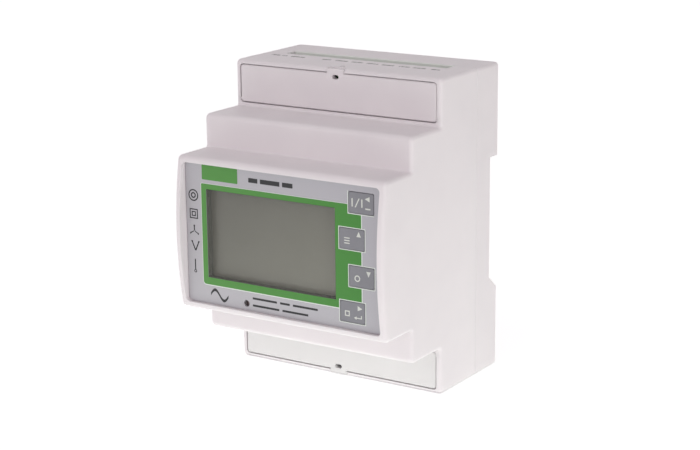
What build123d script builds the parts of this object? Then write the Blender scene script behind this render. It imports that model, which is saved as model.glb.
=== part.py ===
from build123d import *
import os

# Three-phase electricity meter for a 35 mm mounting rail, four modules wide.
# X runs to the right seen from the front, Y towards the wall behind the rail, Z up.
# The origin is on the rail seat, at the middle of the width and of the height.
# Depths are measured forward from the rear plane. All lengths are millimetres.

# Outer form, stepped in three depths and three heights
width = 72.0
nose_height = 46.3
shoulder_step = 10.0
terminal_step = 14.1
seam_depth = 13.5
terminal_rise = 21.0
shoulder_rise = 16.2
nose_rise = 13.7
nose_bulge = 2.3
wall = 1.8
corner_round = 1.6
step_round = 0.6
side_round = 1.2
seam_bevel = 0.25

# Ribs inside the front housing
clamp_rib_x = 14.0
clamp_rib_width = 6.0
clamp_rib_root = 0.5
gusset_reach = 7.0
gusset_thickness = 1.2

# Joint between the base and the front housing
lip_height = 2.4
lip_gap = 0.1

# Rail seat and fixed hooks
rail_height = 35.0
rail_thickness = 1.0
rail_seat_depth = 5.3
recess_over = 1.5
recess_under = 0.7
recess_lead_in = 4.6
recess_slope_wall = 1.08
rail_play = 0.25
relief_depth = 0.4
relief_gap = 0.3
hook_grip = 1.6
hook_width = 16.0
hook_spacing = 40.0
hook_rear_gap = 0.4
hook_slope = 1.0
hook_nose = 1.2

# Sliding rail clip, its channel and its spring
clip_width = 13.0
clip_thickness = 3.0
clip_flange = 1.2
clip_gap = 0.2
clip_grip = 1.4
clip_nose = 1.0
clip_foot_gap = 0.4
clip_neck_gap = 0.4
clip_shoulder_bevel = 0.6
spring_room_width = 6.6
spring_head = 8.8
spring_foot = 5.65
peg_height = 1.6
spring_pitch = 1.7
spring_leaf = 0.45
spring_band = 2.0
spring_bend = 0.6
spring_end_gap = 0.05
pull_slot_width = 6.0
pull_slot_height = 1.4
pull_slot_rise = 2.0

# Terminal covers
cover_thickness = 2.0
cover_gap = 0.3
cover_rest_gap = 0.15
opening_side_wall = 1.5
opening_outer_edge = 1.25
opening_inner_edge = 0.95
opening_round = 1.2
hinge_inset = 0.9
hinge_pin_radius = 0.7
hinge_pin_length = 0.9
hinge_clearance = 0.05
hinge_end_gap = 0.1
cover_edge_bevel = 0.3
tab_width = 5.8
tab_gap = 0.15
tab_sunk = 0.05
tab_root = 1.5
seal_hole_width = 2.4
seal_hole_height = 1.3
seal_hole_inset = 1.4
seal_outlet_radius = 0.9
seal_outlet_setback = 4.1
cover_rib_thickness = 0.9
cover_rib_height = 1.2
cover_rib_hinge_gap = 1.5
cover_rib_edge_gap = 1.0

# Wire slots and terminal blocks
slot_side = 7.5
slot_width = 5.0
pole_pitch = 5.08
block_gap = 0.45
block_clearance = 1.1
block_setback = 6.9
block_back_wall = 2.25
wire_mouth = 3.9
wire_mouth_sill = 0.2
wire_mouth_depth = 6.8
screw_hole_reach = 1.0
cage_wall = 0.5
cage_gap = 0.1
cage_inset = 1.3
cage_back_gap = 0.7
screw_head_radius = 1.8
screw_head_height = 1.8
screw_head_sunk = 1.4
screw_shank_radius = 1.3
screw_tip_rise = 2.3
driver_slot_width = 0.5
driver_slot_depth = 0.8

# Label, display window and light hole, on the nose
label_sunk = 1.0
label_thickness = 0.5
label_margin = 2.1
label_gap = 0.2
label_round = 1.2
panel_thickness = 1.9
window_left_margin = 7.35
window_right_margin = 15.45
window_top_margin = 7.4
window_bottom_margin = 8.0
window_gap = 0.1
lamp_inset = 13.75
lamp_rise = 2.0
lamp_hole_radius = 1.0

# Keys, two staggered columns
key_width = 8.2
key_height = 6.0
key_side_margin = 2.65
key_end_margin = 2.1
key_stagger = 3.15
key_rows = 4
key_gap = 0.15
key_proud = 0.1
key_travel = 0.4
key_rest_gap = 0.1
key_flange = 0.6
key_flange_thickness = 0.9
key_round = 0.5
key_bevel = 0.1
key_stem = 4.2

# Display board and what it carries
board_thickness = 1.6
display_board_setback = 9.4
board_side_gap = 0.95
glass_thickness = 2.3
glass_margin = 0.3
frame_wall = 0.7
frame_gap = 0.15
light_panel_side = 1.0
strip_width = 1.6
strip_zone = 3.15
strip_end_gap = 0.5
switch_size = 6.0
switch_height = 3.5
plunger_width = 3.0
plunger_gap = 0.1
plunger_sunk = 1.5
plunger_proud = 1.2
plunger_foot_gap = 0.3
lamp_radius = 1.5
lamp_length = 5.0
lamp_gap = 0.2
lamp_reach = 0.8
lamp_bevel = 0.6
lamp_collar = 0.4
lamp_collar_height = 0.8
lamp_leg = 0.5
lamp_leg_pitch = 1.8
display_boss_radius = 2.2
display_boss_side_gap = 0.6
display_boss_end_gap = 1.0
display_boss_roof = 0.8
display_screw_radius = 1.0
display_screw_end_gap = 0.6
display_screw_head = 1.9
display_screw_head_height = 1.4
chip_size = 10.0
chip_height = 1.3
chip_standoff = 0.1
chip_leg_width = 0.5
chip_leg_reach = 1.0
chip_leg_thickness = 0.4
chip_leg_pitch = 1.6
chip_legs = 6

# Main board, metering board and what they carry
main_board_below_seam = 1.5
main_board_gap = 0.5
post_x = 24.0
post_radius = 2.4
post_gap = 0.15
locating_pin_radius = 1.1
locating_pin_gap = 0.1
locating_pin_reach = 0.6
spacer_height = 20.0
spacer_width = 5.0
spacer_inset = 3.3
metering_board_side_gap = 1.2
metering_board_end_gap = 1.35
header_length = 20.3
header_thickness = 5.0
header_wall = 1.0
header_floor = 2.0
main_header_inset = 4.0
display_header_z = -14.0

# Large parts of the main board, in rows with even gaps below the upper terminals
transformer_size = 17.0
transformer_round = 2.5
transformer_hole = 3.4
transformer_thickness = 9.0
link_reach = 7.0
link_width = 2.0
link_leg = 1.6
disc_radius = 4.5
disc_thickness = 3.6
disc_rise = 1.0
disc_foot = 5.0
disc_foot_thickness = 0.8
supply_width = 18.0
supply_height = 16.0
supply_core_rise = 3.0
supply_core_depth = 14.0
supply_core_limb = 4.0
supply_core_yoke = 3.0
supply_winding_gap = 0.3
supply_winding_proud = 1.0
supply_side_inset = 6.5
capacitor_radius = 4.5
capacitor_height = 17.0
capacitor_pitch = 10.0
capacitor_side_inset = 13.2
isolator_width = 6.6
isolator_height = 4.5
isolator_depth = 3.6
isolator_pitch = 12.0
isolator_middle = -6.0

# Screws that hold the case together
case_screw_side = 4.2
case_screw_end = 7.05
case_screw_radius = 1.4
case_screw_head_radius = 2.6
case_screw_head_height = 1.8
case_screw_slot = 1.0
case_screw_sunk = 0.6
case_screw_tip_gap = 2.4
case_boss_radius = 2.5
case_boss_length = 14.5
case_boss_roof = 1.2
case_boss_web = 1.2
tube_wall = 1.0
screw_fit = 0.05
screw_clearance = 0.15

# Small helps for the solids: how far cuts run past a face, and how deep joined forms overlap
cut_margin = 1.0
merge = 0.1

# Values worked out from the sizes above
shoulder_height = nose_height + 2 * shoulder_step
height = shoulder_height + 2 * terminal_step
terminal_depth = seam_depth + terminal_rise
shoulder_depth = terminal_depth + shoulder_rise
nose_depth = shoulder_depth + nose_rise
inner_width = width - 2 * wall
bay_inner = shoulder_height / 2
bay_outer = height / 2 - wall
room_half_height = shoulder_height / 2 - wall
slot_length = width - 2 * slot_side
slot_front = seam_depth + slot_width
recess_top = rail_height / 2 + recess_over
recess_bottom = rail_height / 2 + recess_under
rail_hook_front = rail_seat_depth - rail_thickness - rail_play
label_depth = nose_depth - label_sunk
label_seat = label_depth - label_thickness
panel_rear = label_seat - panel_thickness
label_width = width - 2 * label_margin
label_height = nose_height - 2 * label_margin
window_left = -label_width / 2 + window_left_margin
window_width = label_width - window_left_margin - window_right_margin
window_height = label_height - window_top_margin - window_bottom_margin
window_x = window_left + window_width / 2
window_z = (window_bottom_margin - window_top_margin) / 2
lamp_x = window_left + lamp_inset
lamp_z = -label_height / 2 + lamp_rise
key_outer_x = label_width / 2 - key_side_margin - key_width / 2
key_inner_x = key_outer_x - key_stagger
key_pitch = (label_height - 2 * key_end_margin - key_height) / (key_rows - 1)
key_front = label_depth + key_proud
key_flange_front = panel_rear - key_rest_gap
key_flange_rear = key_flange_front - key_flange_thickness
hinge_depth = terminal_depth - hinge_inset
cover_rear = terminal_depth - cover_thickness
cover_inner = bay_inner + opening_inner_edge + cover_gap
cover_outer = height / 2 - opening_outer_edge - cover_gap
cover_width = width - 2 * opening_side_wall - 2 * cover_gap
hinge_z = cover_inner + hinge_inset
seal_z = height / 2 - opening_outer_edge - seal_hole_inset
main_board_front = seam_depth - main_board_below_seam
main_board_rear = main_board_front - board_thickness
pole_count = int(slot_length / pole_pitch)
block_length = pole_count * pole_pitch
block_inner = bay_inner + block_clearance
block_outer = bay_outer - block_gap
block_middle = (block_inner + block_outer) / 2
block_front = terminal_depth - block_setback
mouth_rear = seam_depth + wire_mouth_sill
mouth_front = mouth_rear + wire_mouth_depth
post_z = block_inner - locating_pin_radius - post_gap
display_board_front = label_depth - display_board_setback
display_board_rear = display_board_front - board_thickness
plunger_tip = display_board_front + switch_height + plunger_proud
metering_board_rear = main_board_front + spacer_height
metering_board_front = metering_board_rear + board_thickness
metering_board_width = inner_width - 2 * metering_board_side_gap
metering_board_height = 2 * (room_half_height - metering_board_end_gap)
glass_front = panel_rear
glass_rear = glass_front - glass_thickness
glass_width = window_width + 2 * glass_margin
glass_height = window_height + 2 * glass_margin
clip_floor = rail_seat_depth - clip_gap
clip_front = clip_floor - clip_gap
clip_rear = clip_front - clip_thickness
spring_room_top = recess_bottom + spring_head
spring_room_bottom = height / 2 - spring_foot
case_screw_x = width / 2 - case_screw_side
case_screw_z = height / 2 - case_screw_end
case_boss_front = seam_depth + case_boss_length
case_head_floor = case_screw_sunk + case_screw_head_height
transformer_pitch = (metering_board_width - transformer_thickness) / 3
rows_height = transformer_size + 2 * disc_radius + supply_height + isolator_height
row_gap = (2 * room_half_height - rows_height) / 5
transformer_z = room_half_height - row_gap - transformer_size / 2
disc_z = transformer_z - transformer_size / 2 - row_gap - disc_radius
supply_z = disc_z - disc_radius - row_gap - supply_height / 2
isolator_z = supply_z - supply_height / 2 - row_gap - isolator_height / 2
sides = {"upper": 1, "lower": -1}
keys = {
    "escape": (key_outer_x, 1.5 * key_pitch),
    "up": (key_inner_x, 0.5 * key_pitch),
    "down": (key_outer_x, -0.5 * key_pitch),
    "enter": (key_inner_x, -1.5 * key_pitch),
}


# Helpers that turn flat sketches into solids
def between(sketch, rear, front):
    """A front-view sketch, X and Z, made solid from one depth to another."""
    y = rail_seat_depth - rear
    plane = Plane(origin=(0, y, 0), x_dir=(1, 0, 0), z_dir=(0, -1, 0))
    return extrude(plane * sketch, amount=front - rear)


def across(sketch, half_width, x=0):
    """A side-view sketch, depth and Z, made solid both ways from x."""
    plane = Plane(origin=(x, rail_seat_depth, 0), x_dir=(0, -1, 0), z_dir=(-1, 0, 0))
    return extrude(plane * sketch, amount=half_width, both=True)


def upright(sketch, low, high):
    """A plan-view sketch, X and depth, made solid from one height to another."""
    plane = Plane(origin=(0, rail_seat_depth, low), x_dir=(1, 0, 0), z_dir=(0, 0, -1))
    return extrude(plane * sketch, amount=low - high)


def box(x, depth, z):
    """A block given by its low and high X, depth and Z, in either order."""
    size = (abs(x[1] - x[0]), abs(z[1] - z[0]))
    middle = Pos((x[0] + x[1]) / 2, (z[0] + z[1]) / 2)
    return between(middle * Rectangle(*size), min(depth), max(depth))


def centred(middle, length):
    """The two ends of a length about its middle."""
    return (middle - length / 2, middle + length / 2)


def rod(radius, x, z, rear, front):
    """A round bar along the depth."""
    return between(Pos(x, z) * Circle(radius), rear, front)


def pin_across(radius, x, depth, z):
    """A round bar along X, between the two given places."""
    sketch = Pos(depth, z) * Circle(radius)
    return across(sketch, abs(x[1] - x[0]) / 2, (x[0] + x[1]) / 2)


def outline(points):
    """A closed flat face through the points."""
    return make_face(Polyline(*points, close=True))


def corners_at(sketch, points):
    """The sketch's corners that lie on the points or their mirror images."""
    found = []
    for corner in sketch.vertices():
        for along, up in points:
            if abs(corner.X - along) < 0.001 and abs(abs(corner.Y) - up) < 0.001:
                found.append(corner)
    return found


def edges_at(form, depth):
    """The form's edges that lie in the plane at one depth."""
    y = rail_seat_depth - depth
    found = []
    for edge in form.edges():
        box_of_edge = edge.bounding_box()
        if abs(box_of_edge.min.Y - y) < 0.001 and abs(box_of_edge.max.Y - y) < 0.001:
            found.append(edge)
    return found


# Places that several pieces share
def pole_positions():
    """X of each terminal pole."""
    first = -(pole_count - 1) * pole_pitch / 2
    return [first + n * pole_pitch for n in range(pole_count)]


def phase_positions():
    """X of each phase's transformer, link and surge disc."""
    return (-transformer_pitch, 0, transformer_pitch)


def four_corners(x, z):
    """Four places, mirrored left to right and top to bottom."""
    return [(sx * x, sz * z) for sx in (-1, 1) for sz in (-1, 1)]


def display_boss_places():
    """X and Z of the bosses that hold the display board, clear of the window and the keys."""
    side = inner_width / 2 - display_boss_radius - display_boss_side_gap
    high = nose_height / 2 - wall - display_boss_radius - display_boss_end_gap
    return [(-side, high), (-side, -high), (side, key_pitch / 2), (side, -1.5 * key_pitch)]


def spacer_places():
    """X and Z of the spacers between the main board and the metering board."""
    x = metering_board_width / 2 - spacer_inset
    z = metering_board_height / 2 - spacer_inset
    return four_corners(x, z)


# Front housing, a stepped shell moulded in one piece
def stepped_form():
    """The solid outer form in front of the seam, with every outer edge rounded."""
    half = [
        (seam_depth, height / 2),
        (terminal_depth, height / 2),
        (terminal_depth, shoulder_height / 2),
        (shoulder_depth, shoulder_height / 2),
        (shoulder_depth, nose_height / 2),
        (nose_depth, nose_height / 2),
    ]
    lower = [(depth, -z) for depth, z in reversed(half)]
    edge = Polyline(*half)
    edge += ThreePointArc(half[-1], (nose_depth + nose_bulge, 0), lower[0])
    edge += Polyline(*lower, half[0])
    sketch = make_face(edge)
    sketch = fillet(corners_at(sketch, [half[1], half[3], half[5]]), corner_round)
    sketch = fillet(corners_at(sketch, [half[2], half[4]]), step_round)
    form = across(sketch, width / 2)
    seam_y = rail_seat_depth - seam_depth
    rounded = []
    for edge in form.edges():
        on_side = abs(abs(edge.center().X) - width / 2) < 0.001
        if on_side and abs(edge.center().Y - seam_y) > 0.001:
            rounded.append(edge)
    form = fillet(rounded, side_round)
    return chamfer(edges_at(form, seam_depth), seam_bevel)


def housing_cavities():
    """The rooms inside the shell: terminal bays, the electronics room and the nose."""
    room = between(Rectangle(inner_width, 2 * room_half_height), seam_depth, shoulder_depth - wall)
    nose_room = Rectangle(inner_width, nose_height - 2 * wall)
    room += between(nose_room, shoulder_depth - wall, panel_rear)
    for side in sides.values():
        room += box(
            centred(0, inner_width),
            (seam_depth, terminal_depth - wall),
            (side * bay_inner, side * bay_outer),
        )
    return room


def cover_opening(side):
    """The rebated opening that a terminal cover closes, with its tab notch and hinge bores."""
    low = bay_inner + opening_inner_edge
    high = height / 2 - opening_outer_edge
    shape = Pos(0, side * (low + high) / 2)
    shape *= RectangleRounded(width - 2 * opening_side_wall, high - low, opening_round)
    rear = cover_rear - cover_rest_gap
    front = terminal_depth + cut_margin
    cut = between(shape, rear, front)
    notch_z = (side * (high - cut_margin), side * (height / 2 + cut_margin))
    cut += box(centred(0, tab_width + 2 * tab_gap), (rear, front), notch_z)
    reach = cover_width / 2 + hinge_pin_length + hinge_end_gap
    bore = hinge_pin_radius + hinge_clearance
    return cut + pin_across(bore, (-reach, reach), hinge_depth, side * hinge_z)


def case_bosses():
    """Four bosses for the case screws, each tied by webs to its side wall and beside the wire slot."""
    bosses = []
    depth = (seam_depth, case_boss_front)
    for x, z in four_corners(case_screw_x, case_screw_z):
        sign_x, sign_z = x / abs(x), z / abs(z)
        boss = rod(case_boss_radius, x, z, *depth)
        boss += box((x, sign_x * (inner_width / 2 + merge)), depth, centred(z, case_boss_web))
        slot_end = (sign_x * slot_length / 2, sign_x * (slot_length / 2 + case_boss_web))
        bosses.append(boss + box(slot_end, depth, (z, sign_z * (bay_outer + merge))))
    return bosses


def inner_ribs(side):
    """Two ribs that press the main board down and two gussets in the shoulder's corner."""
    edge = side * room_half_height
    corner = shoulder_depth - wall
    gusset = outline([(corner - gusset_reach, edge), (corner, edge), (corner, edge - side * gusset_reach)])
    ribs = []
    for x in (-clamp_rib_x, clamp_rib_x):
        rib_depth = (main_board_front, seam_depth + clamp_rib_root)
        ribs.append(box(centred(x, clamp_rib_width), rib_depth, (edge, edge + side * wall)))
        ribs.append(across(gusset, gusset_thickness / 2, x))
    return ribs


def front_housing():
    """Shell with bays, slots, bosses, ribs, the label recess and the windows behind it."""
    form = stepped_form() - housing_cavities() + case_bosses()
    for x, z in four_corners(case_screw_x, case_screw_z):
        bore = case_screw_radius + screw_fit
        form -= rod(bore, x, z, seam_depth, case_boss_front - case_boss_roof)
    for x, z in display_boss_places():
        form += rod(display_boss_radius, x, z, display_board_front, panel_rear)
        bore = display_screw_radius + screw_fit
        form -= rod(bore, x, z, display_board_front, panel_rear - display_boss_roof)
    for side in sides.values():
        form += inner_ribs(side)
        form -= cover_opening(side)
        outside = side * (height / 2 + cut_margin)
        form -= box(centred(0, slot_length), (seam_depth, slot_front), (side * bay_outer, outside))
        outlet = Pos(0, terminal_depth - seal_outlet_setback) * Circle(seal_outlet_radius)
        form -= upright(outlet, side * (bay_outer - merge), outside)
    for sign in (-1, 1):
        rebate_x = (sign * inner_width / 2, sign * (width - wall) / 2)
        rebate_depth = (seam_depth, seam_depth + lip_height + 2 * lip_gap)
        form -= box(rebate_x, rebate_depth, centred(0, 2 * (room_half_height + lip_gap)))
    recess = RectangleRounded(
        label_width + 2 * label_gap, label_height + 2 * label_gap, label_round + label_gap
    )
    form -= between(recess, label_seat, nose_depth + nose_bulge + cut_margin)
    window = Pos(window_x, window_z) * Rectangle(window_width, window_height)
    form -= between(window, panel_rear, label_seat)
    for x, z in keys.values():
        hole = Pos(x, z) * Rectangle(key_width + 2 * key_gap, key_height + 2 * key_gap)
        form -= between(hole, panel_rear, label_seat)
    return form - rod(lamp_radius + lamp_gap, lamp_x, lamp_z, panel_rear, label_seat)


# Terminal covers, flaps that turn on two small pins beside the shoulder
def terminal_cover(side):
    """A flap with end pins, a sealing tab with its hole, and two stiffening ribs."""
    middle = Pos(0, side * (cover_inner + cover_outer) / 2)
    plate = middle * RectangleRounded(cover_width, cover_outer - cover_inner, opening_round - cover_gap)
    form = between(plate, cover_rear, terminal_depth)
    form = chamfer(edges_at(form, terminal_depth), cover_edge_bevel)
    tab_z = (side * (cover_outer - tab_root), side * (height / 2 - cover_edge_bevel))
    form += box(centred(0, tab_width), (cover_rear, terminal_depth - tab_sunk), tab_z)
    hole = Pos(0, side * seal_z) * SlotOverall(seal_hole_width, seal_hole_height)
    form -= between(hole, cover_rear - cut_margin, terminal_depth + cut_margin)
    rib_depth = (cover_rear - cover_rib_height, cover_rear + merge)
    rib_z = (side * (hinge_z + cover_rib_hinge_gap), side * (cover_outer - cover_rib_edge_gap))
    rib_x = (block_length / 2 + cover_width / 2) / 2
    for sign in (-1, 1):
        form += box(centred(sign * rib_x, cover_rib_thickness), rib_depth, rib_z)
        pin = (sign * (cover_width / 2 - merge), sign * (cover_width / 2 + hinge_pin_length))
        form += pin_across(hinge_pin_radius, pin, hinge_depth, side * hinge_z)
    return form


# Rear base, a tray whose back wall steps around the rail
def base_form():
    """The tray's outer form with the rail recess across the full width."""
    sketch = outline(
        [
            (0, height / 2),
            (seam_depth, height / 2),
            (seam_depth, -height / 2),
            (0, -height / 2),
            (0, -recess_bottom - recess_lead_in),
            (rail_seat_depth, -recess_bottom),
            (rail_seat_depth, recess_top),
            (0, recess_top),
        ]
    )
    form = across(sketch, width / 2)
    rounded = []
    for edge in form.edges():
        place = edge.center()
        at_side = abs(abs(place.X) - width / 2) < 0.001
        at_end = abs(abs(place.Z) - height / 2) < 0.001
        at_rear = abs(place.Y - rail_seat_depth) < 0.001
        if (at_side and at_end) or (at_rear and (at_side or at_end)):
            rounded.append(edge)
    form = fillet(rounded, side_round)
    return chamfer(edges_at(form, seam_depth), seam_bevel)


def base_cavity():
    """The room inside the tray, its back wall following the recess."""
    end = height / 2 - wall
    floor = rail_seat_depth + wall
    sketch = outline(
        [
            (wall, end),
            (seam_depth + cut_margin, end),
            (seam_depth + cut_margin, -end),
            (wall, -end),
            (wall, -recess_bottom - recess_lead_in - recess_slope_wall),
            (floor, -recess_bottom - recess_slope_wall),
            (floor, recess_top + wall),
            (wall, recess_top + wall),
        ]
    )
    return across(sketch, inner_width / 2)


def locking_lips():
    """The thin walls that stand up from the tray's long sides into the front housing's rebates."""
    depth = (seam_depth - merge, seam_depth + lip_height)
    lips = []
    for sign in (-1, 1):
        lip_x = (sign * inner_width / 2, sign * ((width - wall) / 2 - lip_gap))
        lips.append(box(lip_x, depth, centred(0, 2 * room_half_height)))
    return lips


def screw_tubes():
    """Four tubes around the case screws' heads, cut off flush inside the side walls."""
    inside = between(Rectangle(width - wall, height - wall), wall / 2, seam_depth)
    tube_radius = case_screw_head_radius + tube_wall
    tubes = [rod(tube_radius, x, z, wall / 2, seam_depth) for x, z in four_corners(case_screw_x, case_screw_z)]
    return [tube & inside for tube in tubes]


def board_posts():
    """Four posts that carry the main board, each with a locating pin through it."""
    posts = []
    for x, z in four_corners(post_x, post_z):
        post = rod(post_radius, x, z, wall / 2, main_board_rear)
        pin_front = main_board_front + locating_pin_reach
        posts.append(post + rod(locating_pin_radius, x, z, main_board_rear, pin_front))
    return posts


def rail_hooks():
    """Two fixed hooks at the top of the recess that reach behind the rail's upper edge."""
    rail_top = rail_height / 2 + rail_play
    tip = rail_height / 2 - hook_grip
    root_depth = rail_seat_depth + relief_depth + merge
    profile = outline(
        [
            (root_depth, rail_top),
            (root_depth, recess_top + merge),
            (hook_rear_gap, recess_top + merge),
            (hook_rear_gap, tip + hook_slope),
            (rail_hook_front - hook_nose, tip),
            (rail_hook_front, tip),
            (rail_hook_front, rail_top),
        ]
    )
    return [across(profile, hook_width / 2, x) for x in (-hook_spacing / 2, hook_spacing / 2)]


def rail_reliefs():
    """Shallow pockets in the rail seat behind each hook's tip and behind the clip's nose."""
    depth = (rail_seat_depth - cut_margin, rail_seat_depth + relief_depth)
    hook_tip = rail_height / 2 - hook_grip - relief_gap
    clip_tip = rail_height / 2 - clip_grip - relief_gap
    clip_half = clip_width / 2 + clip_gap
    reliefs = [box((-clip_half, clip_half), depth, (-recess_bottom, -clip_tip))]
    for x in (-hook_spacing / 2, hook_spacing / 2):
        reliefs.append(box(centred(x, hook_width + 2 * relief_gap), depth, (hook_tip, recess_top)))
    return reliefs


def clip_room():
    """The channel that the rail clip slides in, open at the rear, the foot and the recess."""
    half = clip_width / 2 + clip_gap
    lips = half - clip_flange
    z = (-height / 2 - cut_margin, -recess_bottom + cut_margin)
    flange_rear = clip_rear - clip_gap + clip_flange
    room = box((-half, half), (flange_rear, clip_floor), z)
    return room + box((-lips, lips), (-cut_margin, clip_floor), z)


def clip_guide():
    """The thick block around the channel, inside the tray."""
    low = -height / 2 + wall / 2
    sketch = outline(
        [
            (wall / 2, low),
            (clip_floor + wall, low),
            (clip_floor + wall, -recess_bottom),
            (rail_seat_depth, -recess_bottom),
            (wall / 2, -recess_bottom - recess_lead_in),
        ]
    )
    return across(sketch, clip_width / 2 + clip_gap + wall)


def spring_peg():
    """The fixed peg that the clip's spring pushes against and the clip rests on."""
    low = -spring_room_bottom + clip_gap
    width_of_peg = spring_room_width - 2 * clip_gap
    depth = (clip_floor - clip_thickness, clip_floor + merge)
    return box(centred(0, width_of_peg), depth, (low, low + peg_height))


def rear_base():
    """Tray with the locking lips, board posts, screw tubes, rail hooks and the clip channel."""
    form = base_form() - base_cavity() - rail_reliefs()
    form = form + locking_lips() + screw_tubes() + board_posts() + rail_hooks()
    form = form + clip_guide() - clip_room() + spring_peg()
    for x, z in four_corners(case_screw_x, case_screw_z):
        form -= rod(case_screw_head_radius + screw_clearance, x, z, -cut_margin, case_head_floor)
        form -= rod(case_screw_radius + screw_clearance, x, z, 0, seam_depth + cut_margin)
    return form


# Rail clip and its spring
def rail_clip():
    """A flanged slider with a hooked head, a spring window and a pull slot."""
    low = -height / 2 + clip_foot_gap
    neck = -recess_bottom - clip_neck_gap
    middle_width = clip_width - 2 * clip_flange
    form = box(centred(0, clip_width), (clip_rear + clip_flange, clip_front), (low, neck))
    form += box(centred(0, middle_width), (clip_rear, clip_front), (low, neck))
    tip = -rail_height / 2 + clip_grip
    ledge = -recess_bottom - clip_gap
    head = outline(
        [
            (clip_rear, neck - clip_nose),
            (clip_front, neck - clip_nose),
            (clip_front, ledge),
            (rail_hook_front, ledge),
            (rail_hook_front, tip),
            (rail_hook_front - clip_nose, tip),
            (clip_rear, neck + clip_shoulder_bevel),
        ]
    )
    form += across(head, middle_width / 2)
    through = (-cut_margin, clip_floor + cut_margin)
    form -= box(centred(0, spring_room_width), through, (-spring_room_bottom, -spring_room_top))
    pull = Pos(0, low + pull_slot_rise) * SlotOverall(pull_slot_width, pull_slot_height)
    return form - between(pull, *through)


def clip_spring():
    """A leaf spring folded to and fro between the peg and the head of the clip's window."""
    reach = spring_room_width / 2 - 2 * clip_gap - spring_leaf / 2
    foot = -spring_room_bottom + clip_gap + peg_height + spring_end_gap + spring_leaf / 2
    top = -spring_room_top - spring_end_gap - spring_leaf / 2
    leaves = int((top - foot) / spring_pitch)
    rise = (top - foot) / leaves
    points = [(reach if n % 2 else -reach, foot + n * rise) for n in range(leaves + 1)]
    band = trace(FilletPolyline(*points, radius=spring_bend), spring_leaf)
    return between(band, *centred(clip_front - clip_thickness / 2, spring_band))


# Terminal blocks with their screws and wire cages
def terminal_block(side):
    """A row of moulded poles, each with a wire mouth outward and a screw hole in front."""
    form = box(centred(0, block_length), (main_board_front, block_front),
               (side * block_inner, side * block_outer))
    for x in pole_positions():
        mouth_z = (side * (block_inner + block_back_wall), side * (block_outer + cut_margin))
        form -= box(centred(x, wire_mouth), (mouth_rear, mouth_front), mouth_z)
        form -= rod(screw_head_radius + cage_gap, x, side * block_middle,
                    mouth_front - screw_hole_reach, block_front + cut_margin)
    return form


def wire_cages(side):
    """Square metal cages that clamp the wires, one in each pole."""
    outer = block_outer - cage_inset
    inner = block_inner + block_back_wall + cage_back_gap
    rear = mouth_rear + cage_gap
    front = mouth_front - cage_gap
    cages = []
    for x in pole_positions():
        cage = box(centred(x, wire_mouth - 2 * cage_gap), (rear, front), (side * outer, side * inner))
        hollow = centred(x, wire_mouth - 2 * cage_gap - 2 * cage_wall)
        along = (side * (outer + cut_margin), side * (inner - cut_margin))
        cage -= box(hollow, (rear + cage_wall, front - cage_wall), along)
        hole = 2 * (screw_shank_radius + screw_fit)
        cage -= box(centred(x, hole), (front - 2 * cage_wall, front), centred(side * block_middle, hole))
        cages.append(cage)
    return cages


def terminal_screws(side):
    """Slotted clamping screws, one in each pole."""
    front = block_front - screw_head_sunk
    neck = front - screw_head_height
    z = side * block_middle
    screws = []
    for x in pole_positions():
        screw = rod(screw_head_radius, x, z, neck, front)
        screw += rod(screw_shank_radius, x, z, mouth_rear + screw_tip_rise, neck)
        slot_x = centred(x, 2 * (screw_head_radius + cut_margin))
        slot_depth = (front - driver_slot_depth, front + cut_margin)
        screws.append(screw - box(slot_x, slot_depth, centred(z, driver_slot_width)))
    return screws


# Front label and the pieces that show through it
def front_label():
    """The thin printed plate that fills the nose's recess, cut out for window, keys and lamp."""
    sketch = RectangleRounded(label_width, label_height, label_round)
    sketch -= Pos(window_x, window_z) * Rectangle(window_width, window_height)
    for x, z in keys.values():
        shape = RectangleRounded(key_width + 2 * key_gap, key_height + 2 * key_gap, key_round)
        sketch -= Pos(x, z) * shape
    sketch -= Pos(lamp_x, lamp_z) * Circle(lamp_hole_radius)
    return between(sketch, label_seat, label_depth)


def display_window():
    """The clear block that fills the window down to the glass behind it."""
    sketch = Rectangle(window_width - 2 * window_gap, window_height - 2 * window_gap)
    return between(Pos(window_x, window_z) * sketch, glass_front, label_depth)


def key_cap(x, z):
    """A key with a retaining flange behind the panel and a square stem down to its switch."""
    form = between(Pos(x, z) * RectangleRounded(key_width, key_height, key_round), key_flange_front, key_front)
    form = chamfer(edges_at(form, key_front), key_bevel)
    flange = Pos(x, z) * Rectangle(key_width, key_height + 2 * (key_gap + key_flange))
    form += between(flange, key_flange_rear, key_flange_front)
    return form + between(Pos(x, z) * Rectangle(key_stem, key_stem), plunger_tip, key_flange_rear)


def switch_plunger(x, z):
    """The square plunger of the switch behind a key, which moves with the key."""
    rear = display_board_front + switch_height - plunger_sunk + key_travel + plunger_foot_gap
    return between(Pos(x, z) * Rectangle(plunger_width, plunger_width), rear, plunger_tip)


def key_switches():
    """The four switch bodies on the display board, each with its plunger well."""
    top = display_board_front + switch_height
    well = plunger_width + 2 * plunger_gap
    bodies = []
    for x, z in keys.values():
        body = between(Pos(x, z) * Rectangle(switch_size, switch_size), display_board_front, top)
        bodies.append(body - between(Pos(x, z) * Rectangle(well, well), top - plunger_sunk, top))
    return bodies


# Display parts
def display_glass():
    """The two-ply glass of the segment display."""
    sketch = Pos(window_x, window_z) * Rectangle(glass_width, glass_height)
    return between(sketch, glass_rear, glass_front)


def display_frame():
    """The white frame that holds glass, light panel and contact strips on the board."""
    room_width = glass_width + 2 * frame_gap
    room_height = glass_height + 2 * frame_gap
    ring = Rectangle(room_width + 2 * frame_wall, room_height + 2 * frame_wall)
    ring -= Rectangle(room_width, room_height)
    return between(Pos(window_x, window_z) * ring, display_board_front, glass_front)


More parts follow.
